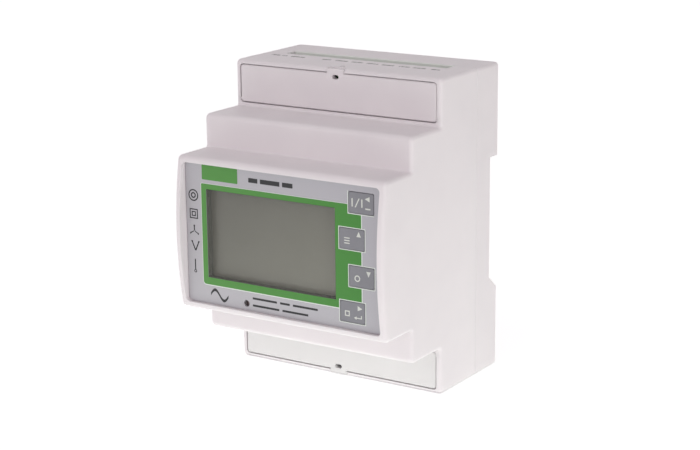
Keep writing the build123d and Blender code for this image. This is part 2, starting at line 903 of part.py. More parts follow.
def light_panel():
    """The light guide behind the glass."""
    sketch = Rectangle(glass_width - 2 * light_panel_side, glass_height - 2 * strip_zone)
    return between(Pos(window_x, window_z) * sketch, display_board_front, glass_rear)


def contact_strips():
    """Two rubber strips that join the glass to the board along its long edges."""
    offset = (glass_height - strip_zone) / 2
    sketch = Rectangle(glass_width - 2 * strip_end_gap, strip_width)
    return [between(Pos(window_x, window_z + side * offset) * sketch, display_board_front, glass_rear)
            for side in sides.values()]


def pulse_lamp():
    """The round lamp behind the small hole in the label, on two legs."""
    front = panel_rear + lamp_reach
    rear = front - lamp_length
    form = rod(lamp_radius, lamp_x, lamp_z, rear, front)
    form = chamfer(edges_at(form, front), lamp_bevel)
    form += rod(lamp_radius + lamp_collar, lamp_x, lamp_z, rear, rear + lamp_collar_height)
    for x in centred(lamp_x, lamp_leg_pitch):
        form += box(centred(x, lamp_leg), (display_board_front, rear), centred(lamp_z, lamp_leg))
    return form


def display_board():
    """The board behind the label, screwed to the housing's four bosses."""
    sketch = Rectangle(inner_width - 2 * board_side_gap, nose_height - 2 * wall - 2 * board_side_gap)
    for x, z in display_boss_places():
        sketch -= Pos(x, z) * Circle(display_screw_radius + screw_fit)
    return between(sketch, display_board_rear, display_board_front)


def display_board_screws():
    """Four small screws that hold the display board from behind."""
    tip = panel_rear - display_boss_roof - display_screw_end_gap
    head_rear = display_board_rear - display_screw_head_height
    screws = []
    for x, z in display_boss_places():
        screw = rod(display_screw_head, x, z, head_rear, display_board_rear)
        screws.append(screw + rod(display_screw_radius, x, z, display_board_rear, tip))
    return screws


def processor_chip():
    """The flat chip on the back of the display board, with its rows of legs."""
    front = display_board_rear - chip_standoff
    form = between(Rectangle(chip_size, chip_size), front - chip_height, front)
    first = -(chip_legs - 1) * chip_leg_pitch / 2
    leg_depth = (display_board_rear - chip_leg_thickness, display_board_rear)
    for n in range(chip_legs):
        across_leg = centred(first + n * chip_leg_pitch, chip_leg_width)
        for sign in (-1, 1):
            along_leg = (sign * chip_size / 2, sign * (chip_size / 2 + chip_leg_reach))
            form += box(across_leg, leg_depth, along_leg)
            form += box(along_leg, leg_depth, across_leg)
    return form


# Main board, metering board and their parts
def main_board():
    """The rear board under both terminal blocks, notched around the case screws."""
    half_width = inner_width / 2 - main_board_gap
    half_height = height / 2 - wall - main_board_gap
    sketch = Rectangle(2 * half_width, 2 * half_height)
    clear = case_screw_head_radius + tube_wall + main_board_gap
    for x, z in four_corners(case_screw_x, case_screw_z):
        corner = Pos(x / abs(x) * half_width, z / abs(z) * half_height)
        notch = (2 * (half_width - case_screw_x + clear), 2 * (half_height - case_screw_z + clear))
        sketch -= corner * Rectangle(*notch)
    for x, z in four_corners(post_x, post_z):
        sketch -= Pos(x, z) * Circle(locating_pin_radius + locating_pin_gap)
    return between(sketch, main_board_rear, main_board_front)


def metering_board():
    """The middle board, carried on four spacers."""
    sketch = Rectangle(metering_board_width, metering_board_height)
    return between(sketch, metering_board_rear, metering_board_front)


def board_spacers():
    """Four six-sided spacers between the main board and the metering board."""
    sketch = RegularPolygon(spacer_width / 2, 6, major_radius=False)
    return [between(Pos(x, z) * sketch, main_board_front, metering_board_rear)
            for x, z in spacer_places()]


def header(x, z, turn, rear, front):
    """A plug-in pin header between two boards, with a sealed pin room."""
    place = Pos(x, z) * Rot(0, 0, turn)
    body = place * Rectangle(header_length, header_thickness)
    room = place * Rectangle(header_length - 2 * header_wall, header_thickness - 2 * header_wall)
    return between(body, rear, front) - between(room, rear + header_floor, front - header_floor)


def current_transformers():
    """Three potted current transformers with a hole through each for its primary link."""
    place = Pos(main_board_front + transformer_size / 2, transformer_z)
    profile = place * RectangleRounded(transformer_size, transformer_size, transformer_round)
    profile -= place * Circle(transformer_hole)
    return [across(profile, transformer_thickness / 2, x) for x in phase_positions()]


def primary_links():
    """Copper staples of square bar that lead each phase current through its transformer."""
    depth = main_board_front + transformer_size / 2
    links = []
    for x in phase_positions():
        link = box(centred(x, 2 * link_reach), centred(depth, link_width), centred(transformer_z, link_width))
        for leg in centred(x, 2 * link_reach - link_leg):
            link += box(centred(leg, link_leg), (main_board_front, depth), centred(transformer_z, link_leg))
        links.append(link)
    return links


def supply_transformer():
    """The small supply transformer, a winding between the limbs of its core."""
    right = metering_board_width / 2 - supply_side_inset
    x = (right - supply_width, right)
    z = centred(supply_z, supply_height)
    core_rear = main_board_front + supply_core_rise
    core_front = core_rear + supply_core_depth
    core = box(x, (core_rear, core_front), z)
    window_x_span = (x[0] + supply_core_limb, x[1] - supply_core_limb)
    window_z_span = (z[0] + supply_core_yoke, z[1] - supply_core_yoke)
    core -= box(window_x_span, (core_rear - cut_margin, core_front + cut_margin), window_z_span)
    winding_z = (window_z_span[0] - supply_winding_gap, window_z_span[1] + supply_winding_gap)
    winding_depth = (core_rear - supply_winding_proud, core_front + supply_winding_proud)
    core += box(window_x_span, winding_depth, winding_z)
    return core + box(window_x_span, (main_board_front, core_rear + merge), winding_z)


def filter_capacitors():
    """Two upright capacitors of the supply."""
    first = -metering_board_width / 2 + capacitor_side_inset
    front = main_board_front + capacitor_height
    return [rod(capacitor_radius, x, supply_z, main_board_front, front)
            for x in (first, first + capacitor_pitch)]


def surge_discs():
    """Three surge discs, one for each phase."""
    middle = main_board_front + disc_rise + disc_radius
    disc = Pos(middle, disc_z) * Circle(disc_radius)
    foot_depth = (main_board_front, middle)
    discs = []
    for x in phase_positions():
        foot = box(centred(x, disc_foot_thickness), foot_depth, centred(disc_z, disc_foot))
        discs.append(across(disc, disc_thickness / 2, x) + foot)
    return discs


def isolators():
    """The row of opto-isolators beside the lower terminals."""
    depth = (main_board_front, main_board_front + isolator_depth)
    z = centred(isolator_z, isolator_height)
    return [box(centred(isolator_middle + n * isolator_pitch, isolator_width), depth, z) for n in (-1, 0, 1)]


# Screws that join the base to the housing from behind
def case_screws():
    """Four long screws with slotted heads sunk in the base."""
    tip = case_boss_front - case_boss_roof - case_screw_tip_gap
    slot_depth = (case_screw_sunk - cut_margin, case_screw_sunk + driver_slot_depth)
    screws = []
    for x, z in four_corners(case_screw_x, case_screw_z):
        screw = rod(case_screw_head_radius, x, z, case_screw_sunk, case_head_floor)
        screw += rod(case_screw_radius, x, z, case_head_floor, tip)
        slot_x = centred(x, 2 * (case_screw_head_radius + cut_margin))
        screws.append(screw - box(slot_x, slot_depth, centred(z, case_screw_slot)))
    return screws


# Every piece of the meter, by name
def pieces():
    """Each node's name and its solid or solids."""
    main_header_x = -metering_board_width / 2 + main_header_inset
    made = {
        "front_housing": front_housing(),
        "rear_base": rear_base(),
        "rail_clip": rail_clip(),
        "clip_spring": clip_spring(),
        "case_screws": case_screws(),
        "front_label": front_label(),
        "display_window": display_window(),
        "display_glass": display_glass(),
        "display_frame": display_frame(),
        "light_panel": light_panel(),
        "contact_strips": contact_strips(),
        "pulse_lamp": pulse_lamp(),
        "display_board": display_board(),
        "display_board_screws": display_board_screws(),
        "key_switches": key_switches(),
        "processor_chip": processor_chip(),
        "display_header": header(0, display_header_z, 0, metering_board_front, display_board_rear),
        "metering_board": metering_board(),
        "board_spacers": board_spacers(),
        "main_header": header(main_header_x, disc_z, 90, main_board_front, metering_board_rear),
        "main_board": main_board(),
        "current_transformers": current_transformers(),
        "primary_links": primary_links(),
        "supply_transformer": supply_transformer(),
        "filter_capacitors": filter_capacitors(),
        "surge_discs": surge_discs(),
        "isolators": isolators(),
    }
    for name, side in sides.items():
        made[name + "_terminal_cover"] = terminal_cover(side)
        made[name + "_terminal_block"] = terminal_block(side)
        made[name + "_terminal_screws"] = terminal_screws(side)
        made[name + "_wire_cages"] = wire_cages(side)
    for name, place in keys.items():
        made[name + "_key"] = key_cap(*place)
        made[name + "_key_plunger"] = switch_plunger(*place)
    return made


os.makedirs("parts", exist_ok=True)
for node, shape in pieces().items():
    solids = shape if isinstance(shape, list) else [shape]
    if len(solids) > 1:
        export_step(Compound(children=[Part(s.wrapped) for s in solids]), f"parts/{node}.step")
    else:
        export_step(solids[0], f"parts/{node}.step")
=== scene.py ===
import math

import bmesh
import bpy
from mathutils import Matrix, Vector


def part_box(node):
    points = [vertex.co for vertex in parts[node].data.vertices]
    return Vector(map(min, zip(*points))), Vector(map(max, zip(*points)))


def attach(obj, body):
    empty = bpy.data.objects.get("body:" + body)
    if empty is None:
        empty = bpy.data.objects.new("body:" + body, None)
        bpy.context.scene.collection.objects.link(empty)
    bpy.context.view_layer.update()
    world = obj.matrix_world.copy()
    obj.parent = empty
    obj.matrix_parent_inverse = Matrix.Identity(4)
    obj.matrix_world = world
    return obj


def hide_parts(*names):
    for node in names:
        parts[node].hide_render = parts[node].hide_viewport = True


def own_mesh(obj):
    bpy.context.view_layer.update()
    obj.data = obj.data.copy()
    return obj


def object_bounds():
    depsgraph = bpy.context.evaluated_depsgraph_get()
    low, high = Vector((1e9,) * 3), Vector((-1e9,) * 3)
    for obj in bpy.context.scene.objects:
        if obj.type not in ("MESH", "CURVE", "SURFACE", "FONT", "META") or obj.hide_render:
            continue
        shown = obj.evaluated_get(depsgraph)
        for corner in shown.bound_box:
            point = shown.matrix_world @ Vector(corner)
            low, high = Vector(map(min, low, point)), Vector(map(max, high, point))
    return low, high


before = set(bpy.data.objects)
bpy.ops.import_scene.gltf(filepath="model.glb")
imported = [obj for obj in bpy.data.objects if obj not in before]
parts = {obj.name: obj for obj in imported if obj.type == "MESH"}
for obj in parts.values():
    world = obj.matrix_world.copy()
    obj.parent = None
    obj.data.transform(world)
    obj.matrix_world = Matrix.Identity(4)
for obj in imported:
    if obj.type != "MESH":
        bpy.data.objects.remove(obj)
cad_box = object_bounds()
bpy.ops.object.select_all(action="DESELECT")
bpy.context.scene.view_settings.view_transform = "Standard"


# The camera
# It stands to the right of the meter and a little above it, about half a metre away,
# with the long lens of a catalogue picture, so the upright edges hardly converge.
camera_place = Vector((0.28863, -0.46797, 0.13426))
camera_azimuth = math.radians(32.906)
camera_elevation = math.radians(14.354)
camera_roll = math.radians(-0.569)
backward = Vector(
    (
        math.sin(camera_azimuth) * math.cos(camera_elevation),
        -math.cos(camera_azimuth) * math.cos(camera_elevation),
        math.sin(camera_elevation),
    )
)
level = Vector((math.cos(camera_azimuth), math.sin(camera_azimuth), 0))
upward = backward.cross(level)
rightward = level * math.cos(camera_roll) + upward * math.sin(camera_roll)
upward = upward * math.cos(camera_roll) - level * math.sin(camera_roll)
lens = bpy.data.cameras.new("camera")
lens.sensor_width = 36
lens.lens = 93.24
lens.clip_start = 0.02
lens.clip_end = 20
camera = bpy.data.objects.new("camera", lens)
bpy.context.scene.collection.objects.link(camera)
camera.matrix_world = Matrix.Translation(camera_place) @ Matrix(
    (rightward, upward, backward)
).transposed().to_4x4()
bpy.context.scene.camera = camera


# The table top it stands on
# A white sheet of board, seen as plain white where nothing shades it, and lit like
# the meter itself, so that a faint shadow stays under the foot.
class Amount:
    """A number that varies over a surface. Sums and products of amounts add Math nodes."""

    def __init__(self, finish, socket):
        self.finish = finish
        self.socket = socket

    def worked(self, operation, *values):
        """The result of one Math node."""
        made = self.finish.node("Math", {"operation": operation}, dict(enumerate(values)))
        return Amount(self.finish, made.outputs[0])

    def __add__(self, other):
        return self.worked("ADD", self, other)

    def __radd__(self, other):
        return self.worked("ADD", other, self)

    def __sub__(self, other):
        return self.worked("SUBTRACT", self, other)

    def __rsub__(self, other):
        return self.worked("SUBTRACT", other, self)

    def __mul__(self, other):
        return self.worked("MULTIPLY", self, other)

    def __rmul__(self, other):
        return self.worked("MULTIPLY", other, self)

    def __gt__(self, other):
        return self.worked("GREATER_THAN", self, other)

    def __lt__(self, other):
        return self.worked("LESS_THAN", self, other)

    def __abs__(self):
        return self.worked("ABSOLUTE", self)

    def held(self):
        """The amount, held between 0 and 1."""
        return self.worked("MINIMUM", self.worked("MAXIMUM", self, 0.0), 1.0)


class Finish:
    """The node tree of one material or world, built up from its nodes."""

    def __init__(self, owner):
        owner.use_nodes = True
        self.owner = owner
        self.tree = owner.node_tree
        self.surface = self.tree.nodes.get("Principled BSDF")

    def node(self, kind, settings=None, sockets=None):
        """Adds a node. Its settings go in first, then its sockets' values or links."""
        made = self.tree.nodes.new("ShaderNode" + kind)
        for name, value in (settings or {}).items():
            if name == "stops":
                stops = made.color_ramp.elements
                while len(stops) < len(value):
                    stops.new(1)
                for stop, (place, shade) in zip(stops, value):
                    stop.position = place
                    stop.color = shade
            elif name == "steps":
                made.color_ramp.interpolation = value
            else:
                setattr(made, name, value)
        for name, value in (sockets or {}).items():
            self.give(made.inputs[name], value)
        return made

    def give(self, socket, value):
        """Links an amount or a socket to a socket, or sets a plain value on it."""
        if isinstance(value, Amount):
            value = value.socket
        if isinstance(value, bpy.types.NodeSocket):
            self.tree.links.new(value, socket)
        else:
            socket.default_value = value

    def amount(self, node, output=0):
        """One of a node's outputs, as an amount."""
        return Amount(self, node.outputs[output])

    def place(self):
        """Where the shaded point is on the meter, as three amounts in millimetres."""
        where = self.node("TexCoord").outputs["Object"]
        split = self.node("SeparateXYZ", None, {0: where})
        return [self.amount(split, n) * 1000 for n in range(3)]

    def noise(self, size, detail=2.0, stretch=(1, 1, 1)):
        """An uneven pattern from 0 to 1, its patches about this many millimetres wide."""
        where = self.node("TexCoord").outputs["Object"]
        scale = [1000 * s / size for s in stretch]
        scaled = self.node("Mapping", None, {0: where, "Scale": scale}).outputs[0]
        made = self.node("TexNoise", None, {"Vector": scaled, "Scale": 1, "Detail": detail})
        return self.amount(made)

    def mix(self, share, first, second):
        """Two colours mixed by an amount."""
        made = self.node("Mix", {"data_type": "RGBA"}, {0: share, 6: first, 7: second})
        return made.outputs[2]

    def relief(self, height, depth, strength):
        """The surface's direction over a relief this many millimetres deep."""
        sockets = {"Height": height, "Distance": depth / 1000, "Strength": strength}
        return self.node("Bump", None, sockets).outputs["Normal"]

    def shine(self, **values):
        """Sets the surface shader's sockets; a name's underscores are spaces."""
        for name, value in values.items():
            self.give(self.surface.inputs[name.replace("_", " ")], value)

    def put_on(self, *objects):
        """Puts the finish in the first material slot of each object."""
        for thing in objects:
            if thing.material_slots:
                thing.material_slots[0].material = self.owner
            else:
                thing.data.materials.append(self.owner)


def colour(red, green, blue):
    """A colour given as it is seen on screen, 0 to 255, made linear."""
    seen = [c / 255 for c in (red, green, blue)]
    return [c / 12.92 if c < 0.04045 else ((c + 0.055) / 1.055) ** 2.4 for c in seen] + [1]


def seen_directly(finish):
    """1 where the camera, a reflection or a clear piece looks at the surface, else 0."""
    path = finish.node("LightPath")
    kinds = ("Is Camera Ray", "Is Glossy Ray", "Is Transmission Ray")
    first, second, third = (Amount(finish, path.outputs[kind]) for kind in kinds)
    return first.worked("MAXIMUM", first.worked("MAXIMUM", first, second), third)


table_height = cad_box[0].z
bpy.ops.mesh.primitive_plane_add(size=6, location=(0, 0, table_height))
table = bpy.context.object
table.name = "table_top"
bpy.ops.object.transform_apply(location=True)
board = Finish(bpy.data.materials.new("table_white"))
board.shine(Base_Color=colour(240, 240, 240), Roughness=0.9, Specular_IOR_Level=0.1)
table_glow = board.node("Emission", None, {"Color": (1, 1, 1, 1), "Strength": 0.55})
matt = board.surface.outputs[0]
glowing = board.node("AddShader", None, {0: matt, 1: table_glow.outputs[0]}).outputs[0]
shown = board.node("MixShader", None, {0: seen_directly(board), 1: matt, 2: glowing})
board.give(board.tree.nodes["Material Output"].inputs["Surface"], shown.outputs[0])
board.put_on(table)


# The studio light
# A faintly pink room, each side of it with its own level, brightest in front. A flat lamp in
# the white table top, as in a light table, and a soft lamp low at the right, so that the
# right face and the lower steps are the brightest.
world = bpy.data.worlds.new("studio")
bpy.context.scene.world = world
air = Finish(world)
soft = air.tree.nodes["Background"]
toward = air.node("SeparateXYZ", None, {0: air.node("TexCoord").outputs["Generated"]})
room_light = 0.25

# The sides of the room, each with its axis, the way it lies along it, and its level
front_side = (1, -1, 0.66)
back_side = (1, 1, 0.06)
ceiling = (2, 1, 0.13)
left_side = (0, -1, 0.3)
for axis, way, level in (front_side, back_side, ceiling, left_side):
    share = air.amount(toward, axis) * way
    room_light = room_light + share.worked("MAXIMUM", share, 0.0) * level
air.give(soft.inputs["Color"], (1.0, 0.95, 0.975, 1))
air.give(soft.inputs["Strength"], room_light)
white = air.node("Background", None, {"Color": (1, 1, 1, 1), "Strength": 1.0}).outputs[0]
shown = air.node("MixShader", None, {0: seen_directly(air), 1: soft.outputs[0], 2: white})
air.give(air.tree.nodes["World Output"].inputs["Surface"], shown.outputs[0])


def lamp(name, place, aim, size, brightness, tint):
    """A square soft lamp that faces the point it is aimed at; a brightness of 1 looks white."""
    light = bpy.data.lights.new(name, "AREA")
    light.size = size
    light.energy = brightness * math.pi * size * size
    light.color = tint
    made = bpy.data.objects.new(name, light)
    bpy.context.scene.collection.objects.link(made)
    made.location = place
    made.rotation_euler = (Vector(aim) - Vector(place)).to_track_quat("-Z", "Y").to_euler()
    made.visible_camera = False


lamp(
    "lamp_table",
    place=(0, 0, table_height + 0.0002),
    aim=(0, 0, 1),
    size=0.4,
    brightness=0.56,
    tint=(0.92, 1.0, 0.94),
)
lamp(
    "lamp_right",
    place=(0.9, -0.3, 0.06),
    aim=(0, -0.02, -0.03),
    size=0.5,
    brightness=3.3,
    tint=(0.98, 1.0, 0.95),
)


# Front housing, base and terminal covers
# Pinkish white moulded plastic with a fine spark-etched skin. The housing is one stepped
# shell, the base closes it from behind, and the covers are flaps of the same plastic.
def moulded_white(name, light=(238, 232, 234), dark=(230, 224, 227)):
    """White plastic with a fine grain, a faint mottle and a slightly uneven sheen."""
    finish = Finish(bpy.data.materials.new(name))
    grain = finish.noise(0.28, 3.0)
    mottle = finish.noise(14.0, 2.0)
    sheen = 0.46 + 0.1 * finish.noise(6.0, 3.0)
    finish.shine(
        Base_Color=finish.mix(mottle, colour(*dark), colour(*light)),
        Roughness=sheen,
        Normal=finish.relief(grain, 0.012, 0.6),
        Subsurface_Weight=0.4,
        Subsurface_Radius=(1.0, 1.0, 1.0),
        Subsurface_Scale=0.0015,
    )
    return finish


shell = moulded_white("moulded_white_shell")
base = moulded_white("moulded_white_base", (236, 230, 232), (228, 222, 225))
shell.put_on(parts["front_housing"])
base.put_on(parts["rear_base"])
upper_flap = moulded_white("moulded_white_upper_flap", (235, 229, 231), (227, 221, 224))
# Painted light and shade: the lower cover's copy is neutral and a little darker
lower_flap_painted_light = moulded_white("moulded_white_lower_flap", (230, 228, 228), (223, 221, 221))
upper_flap.put_on(parts["upper_terminal_cover"])
lower_flap_painted_light.put_on(parts["lower_terminal_cover"])


# Wire slots
# The long slots in the top and bottom faces end at the base's edge, painted there with a
# greyish green bounce light from the terminal blocks right below, and with painted shade.
seam_y = -8.2
slot_floor = 45.0
slot_half_length = 28.4


def paint_slot_bounce_and_shade(finish):
    """Paints green bounce light and shade on the base's edge that closes the wire slots."""
    across, depth, height = finish.place()
    at_seam = abs(depth - seam_y) < 0.3
    slot_edge = at_seam * (abs(height) > slot_floor) * (abs(across) < slot_half_length)

    # Painted light at the slot's floor, painted shade and green bounce at its mouth
    rise = abs(height) * 0.55 - 25.0
    painted_bounce_and_shade = finish.mix(rise, colour(248, 248, 245), colour(229, 231, 226))
    plain = finish.surface.inputs["Base Color"].links[0].from_socket
    finish.shine(Base_Color=finish.mix(slot_edge, plain, painted_bounce_and_shade))


# Painted bounce light and shade on the base's slot edges
paint_slot_bounce_and_shade(base)


# Marks beside the wire slot
# Short dark dashes printed on the housing's top face, in a row along the slot.
mark_row_y = -17.1
mark_row_width = 1.1
top_face = 47.1
half_width = 36


def add_marks(finish):
    """Darkens short dashes on the top face, each from one place across to another."""
    dashes = [
        (-31, -28),
        (-27, -25.4),
        (-24, -19),
        (-12.6, -9.4),
        (-7.6, -3.5),
        (-2, 1.9),
        (3.2, 7.1),
        (8.6, 12.8),
        (14.5, 18.2),
        (19.3, 23.6),
        (25.4, 28.2),
    ]
    across, depth, height = finish.place()
    black, clear = (0, 0, 0, 1), (1, 1, 1, 1)
    stops = [(0, black)]
    width = 2 * half_width
    for low, high in dashes:
        stops += [((low + half_width) / width, clear), ((high + half_width) / width, black)]
    ramp = {"steps": "CONSTANT", "stops": stops}
    row = finish.amount(finish.node("ValToRGB", ramp, {0: (across + half_width) * (1 / width)}))
    uneven = finish.node("TexNoise", {"noise_dimensions": "1D"}, {"W": across, "Scale": 2.2})
    strokes = finish.amount(uneven) > 0.38
    line = (abs(depth - mark_row_y) < mark_row_width / 2) * (height > top_face) * strokes
    plain = finish.surface.inputs["Base Color"].links[0].from_socket
    finish.shine(Base_Color=finish.mix(row * line * 0.95, plain, colour(96, 90, 92)))


add_marks(shell)


# Rail clip and its spring
# The clip is a slider of grey glass-filled plastic in the base's channel, and the leaf
# spring behind its head is bright rolled strip, folded to and fro.
def tinted_plastic(name, red, green, blue, roughness=0.5, grain=0.2, spread=8):
    """Coloured plastic with a fine grain and a little unevenness of colour and sheen."""
    finish = Finish(bpy.data.materials.new(name))
    light = colour(red + spread, green + spread, blue + spread)
    dark = colour(red - spread, green - spread, blue - spread)
    finish.shine(
        Base_Color=finish.mix(finish.noise(3.5, 3.0), dark, light),
        Roughness=roughness - 0.06 + 0.12 * finish.noise(1.5, 2.0),
        Normal=finish.relief(finish.noise(grain, 2.0), 0.01, 0.6),
    )
    return finish


def rolled_metal(name, red, green, blue, roughness=0.3, along=(1, 1, 12)):
    """Bare or plated metal with fine drawn lines and a few duller patches."""
    finish = Finish(bpy.data.materials.new(name))
    lines = finish.noise(0.8, 3.0, along)
    dull = finish.noise(1.6, 3.0)
    darker = 0.8
    light = colour(red, green, blue)
    dark = colour(red * darker, green * darker, blue * darker)
    finish.shine(
        Base_Color=finish.mix(dull, dark, light),
        Metallic=1.0,
        Roughness=roughness - 0.08 + 0.2 * dull,
        Normal=finish.relief(lines, 0.006, 0.5),
    )
    return finish


def make_active(thing):
    """Selects one object alone and makes it the active one."""
    bpy.ops.object.select_all(action="DESELECT")
    thing.select_set(True)
    bpy.context.view_layer.objects.active = thing


def open_in_edit(thing):
    """Makes one object the active one and opens its mesh."""
    make_active(thing)
    bpy.ops.object.mode_set(mode="EDIT")


tinted_plastic("clip_plastic", 138, 141, 144).put_on(parts["rail_clip"])

# The spring stands on the base's peg, and the clip's head presses on it; the copy here keeps
# its shape
spring = bpy.data.objects.new("folded_spring", parts["clip_spring"].data.copy())
spring.data.materials.clear()
bpy.context.scene.collection.objects.link(spring)
open_in_edit(spring)
bpy.ops.mesh.select_all(action="SELECT")
bpy.ops.mesh.remove_doubles(threshold=0.000001)
bpy.ops.object.mode_set(mode="OBJECT")
bpy.ops.object.shade_smooth_by_angle(angle=math.radians(35))
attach(spring, "meter_body")
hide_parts("clip_spring")
rolled_metal("spring_strip", 176, 178, 182, 0.3, (12, 1, 1)).put_on(spring)
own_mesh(spring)


# Screws
# Zinc plated steel: long slotted screws through the base, small ones behind the display
# board, and slotted clamping screws in the terminal blocks.
zinc = rolled_metal("zinc_plate", 184, 186, 184, 0.36, (1, 1, 1))
zinc.put_on(
    parts["case_screws"],
    parts["display_board_screws"],
    parts["upper_terminal_screws"],
    parts["lower_terminal_screws"],
)


# Front label
# A satin silver film plate glued into the nose's recess, with a very fine sparkle, and
# painted shade that darkens it a little towards its upper right.
label_ground = Finish(bpy.data.materials.new("silver_film"))
sparkle = label_ground.noise(0.22, 4.0)
cloud = label_ground.noise(20.0, 1.0)
label_x, _, label_z = label_ground.place()
# Painted shade: the film darkens towards its upper right
painted_shade_share = ((label_x + label_z + 20) * (1 / 58)).held()
lit_silver = label_ground.mix(cloud, colour(170, 168, 174), colour(178, 176, 180))
painted_shade_silver = label_ground.mix(cloud, colour(157, 156, 165), colour(165, 163, 170))
silver = label_ground.mix(painted_shade_share, lit_silver, painted_shade_silver)
silver = label_ground.mix(sparkle, silver, colour(192, 190, 195))
label_ground.shine(
    Base_Color=silver,
    Roughness=0.42 + 0.1 * sparkle,
    Metallic=0.15,
    Normal=label_ground.relief(sparkle, 0.006, 0.5),
)
label_ground.put_on(parts["front_label"])


# Printed green field and its pale outline
# Screen print on the label: a pale layer and the green field over it, both cut out for the
# window and the keys, a pale line around each key, and a plain green patch at the upper left.
def pick(thing, kind, test):
    """Selects the open mesh's faces or vertices whose middle passes the test."""
    bpy.ops.mesh.select_mode(type={"faces": "FACE", "verts": "VERT"}[kind])
    bpy.ops.mesh.select_all(action="DESELECT")
    mesh = bmesh.from_edit_mesh(thing.data)
    for element in getattr(mesh, kind):
        middle = element.co if kind == "verts" else element.calc_center_median()
        if test(middle):
            element.select_set(True)
    mesh.select_flush_mode()
    bmesh.update_edit_mesh(thing.data)


def flat_sheet(name, left, right, low, high):
    """A flat sheet drawn in millimetres, X to the right and Y upward."""
    bpy.ops.object.select_all(action="DESELECT")
    bpy.ops.mesh.primitive_plane_add(size=1)
    made = bpy.context.object
    made.name = name
    made.scale = (right - left, high - low, 1)
    made.location = ((left + right) / 2, (low + high) / 2, 0)
    bpy.ops.object.transform_apply(location=True, rotation=True, scale=True)
    return made


def cut_out(thing, left, right, low, high):
    """Cuts a rectangle out of a flat sheet that is open in edit mode."""
    for x in (left, right):
        bpy.ops.mesh.select_all(action="SELECT")
        bpy.ops.mesh.bisect(plane_co=(x, 0, 0), plane_no=(1, 0, 0), threshold=0.00001)
    for y in (low, high):
        bpy.ops.mesh.select_all(action="SELECT")
        bpy.ops.mesh.bisect(plane_co=(0, y, 0), plane_no=(0, 1, 0), threshold=0.00001)
    pick(thing, "faces", lambda at: left < at.x < right and low < at.y < high)
    if any(face.select for face in bmesh.from_edit_mesh(thing.data).faces):
        bpy.ops.mesh.delete(type="FACE")


def round_corners(thing, places, radius, segments=4):
    """Rounds the open sheet's corners that lie at the given places."""
    reach = 0.02

    def near(at):
        return any((at.xy - Vector(place)).length < reach for place in places)

    pick(thing, "verts", near)
    bpy.ops.mesh.bevel(affect="VERTICES", offset=radius, segments=segments)


def corners_of(edges):
    """The four corners of a rectangle, given as its left, right, lower and upper edge."""
    left, right, low, high = edges
    return [(x, y) for x in (left, right) for y in (low, high)]


def thicken(thing, thickness):
    """Gives a flat sheet its thickness, upward from where it lies."""
    bpy.ops.object.mode_set(mode="OBJECT")
    layer = thing.modifiers.new("thickness", "SOLIDIFY")
    layer.thickness = thickness
    layer.offset = 1
    bpy.ops.object.modifier_apply(modifier=layer.name)


def lay_on_front(thing, y):
    """Turns a flat drawing to face forward and sets its back at this place, in metres."""
    make_active(thing)
    thing.scale = (0.001, 0.001, 0.001)
    thing.rotation_euler = (math.pi / 2, 0, 0)
    thing.location = (0, y, 0)
    bpy.ops.object.transform_apply(location=True, rotation=True, scale=True)


label_low, label_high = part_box("front_label")
label_front = label_low.y
window_low, window_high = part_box("display_window")
opening_gap = 0.1
window_edges = (
    window_low.x * 1000 - opening_gap,
    window_high.x * 1000 + opening_gap,
    window_low.z * 1000 - opening_gap,
    window_high.z * 1000 + opening_gap,
)
key_names = ("escape", "up", "down", "enter")
key_label_gap = 0.15
key_flange = 0.75


def key_edges(name):
    """Left, right, lower and upper edge of a key's face, in millimetres."""
    low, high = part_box(name + "_key")
    return (low.x * 1000, high.x * 1000, low.z * 1000 + key_flange, high.z * 1000 - key_flange)


def grown(edges, by):
    """A rectangle's edges moved outward by the same length, or inward by a negative one."""
    left, right, low, high = edges
    return (left - by, right + by, low - by, high + by)


field = (-28.3, 27.1, -15.25, 15.25)
pale_line = 0.28
key_line_width = 0.24
print_layer = 0.02


def printed_field(name, edges, lower_corner, upper_corner, y):
    """One printed layer around the window, cut out for the keys and the lines around them."""
    made = flat_sheet(name, *edges)
    open_in_edit(made)
    cut_out(made, *window_edges)
    for key in key_names:
        cut_out(made, *grown(key_edges(key), key_label_gap + key_line_width))
    round_corners(made, [(edges[0], edges[2])], lower_corner)
    round_corners(made, [(edges[0], edges[3])], upper_corner)
    thicken(made, print_layer)
    lay_on_front(made, y)
    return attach(made, "meter_body")


def key_line(key):
    """The pale line printed around one key. The escape key has it left and below only."""
    inner = grown(key_edges(key), key_label_gap)
    outer = left, right, low, high = grown(inner, key_line_width)
    made = flat_sheet("label_" + key + "_line_print", *outer)
    open_in_edit(made)
    cut_out(made, *inner)
    corners = corners_of(outer)
    if key == "escape":
        past = 1
        cut_out(made, inner[1], right + past, low - past, high + past)
        cut_out(made, left - past, right + past, inner[3], high + past)
        corners = [(left, low)]
    round_corners(made, corners, 0.3, 3)
    thicken(made, 2 * print_layer)
    lay_on_front(made, label_front)
    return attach(made, "meter_body")


def ink(name, red, green, blue, roughness=0.5):
    """Screen print ink: flat colour with a slight mesh grain; also the sleeve's painted shade.
    """
    finish = Finish(bpy.data.materials.new(name))
    weave = finish.noise(0.35, 2.0)
    spread = 6
    light = colour(red + spread, green + spread, blue + spread)
    dark = colour(red - spread, green - spread, blue - spread)
    finish.shine(
        Base_Color=finish.mix(weave, dark, light),
        Roughness=roughness + 0.08 * weave,
        Normal=finish.relief(weave, 0.004, 0.4),
    )
    return finish


